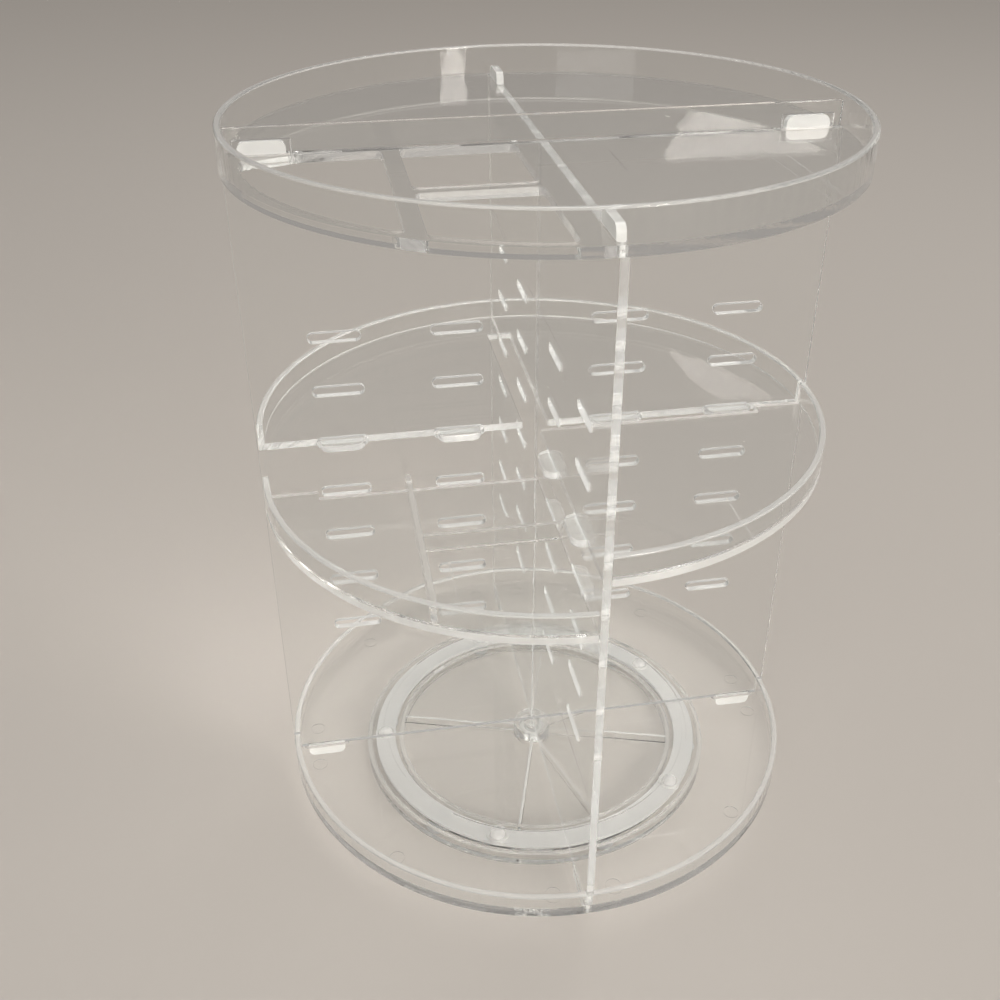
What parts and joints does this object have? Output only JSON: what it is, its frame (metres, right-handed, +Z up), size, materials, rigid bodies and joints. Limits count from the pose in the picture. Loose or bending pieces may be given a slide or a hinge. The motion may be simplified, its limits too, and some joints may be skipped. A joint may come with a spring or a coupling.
{
  "type": "rotating makeup organizer",
  "caption": "Clear round carousel that spins on a low ball-bearing foot, with crossed slotted panels, quarter trays hung in the slots and a rimmed top tray with openings.",
  "frame": {"origin": "on the spin axis, at the height where the foot pads stand on the table", "axes": "+Z up along the spin axis; +X along the main panel, to the right in the picture; -Y towards the front"},
  "size_m": [0.232, 0.232, 0.304],
  "materials": {
    "clear_acrylic": "clear, polished",
    "frosted_cage": "frosted, translucent",
    "ball": "clear, smooth",
    "soft_pad": "soft, translucent",
    "clear_pivot": "clear, smooth"
  },
  "bodies": {
    "foot": {"foot_disc": "clear_acrylic", "foot_pad_1": "soft_pad", "foot_pad_2": "soft_pad", "foot_pad_3": "soft_pad", "foot_pad_4": "soft_pad", "foot_pad_5": "soft_pad", "foot_pad_6": "soft_pad"},
    "bearing": {"ball_cage": "frosted_cage", "bearing_ball_1": "ball", "bearing_ball_2": "ball", "bearing_ball_3": "ball", "bearing_ball_4": "ball", "bearing_ball_5": "ball"},
    "carousel": {"base_tray": "clear_acrylic", "pivot_screw": "clear_pivot", "pivot_washer": "clear_pivot", "main_panel": "clear_acrylic", "cross_panel": "clear_acrylic", "top_tray": "clear_acrylic"},
    "back_left_tray": {"back_left_tray": "clear_acrylic"},
    "back_right_tray": {"back_right_tray": "clear_acrylic"},
    "front_right_tray": {"front_right_tray": "clear_acrylic"},
    "front_left_tray": {"front_left_tray": "clear_acrylic"}
  },
  "joints": [
    {"name": "carousel_spin", "type": "hinge", "parent": "foot", "child": "carousel", "pos_m": [0, 0, 0], "axis": [0, 0, 1], "continuous": true},
    {"name": "bearing_spin", "type": "hinge", "parent": "foot", "child": "bearing", "pos_m": [0, 0, 0], "axis": [0, 0, 1], "continuous": true},
    {"name": "back_left_tray_pull", "type": "slide", "parent": "carousel", "child": "back_left_tray", "axis": [0, 1, 0], "range_m": [0, 0.12]},
    {"name": "back_right_tray_pull", "type": "slide", "parent": "carousel", "child": "back_right_tray", "axis": [0, 1, 0], "range_m": [0, 0.12]},
    {"name": "front_right_tray_pull", "type": "slide", "parent": "carousel", "child": "front_right_tray", "axis": [1, 0, 0], "range_m": [0, 0.12]},
    {"name": "front_left_tray_pull", "type": "slide", "parent": "carousel", "child": "front_left_tray", "axis": [-1, 0, 0], "range_m": [0, 0.12]}
  ],
  "couplings": [
    {"joint": "bearing_spin", "follows": "carousel_spin", "ratio": 0.5}
  ]
}
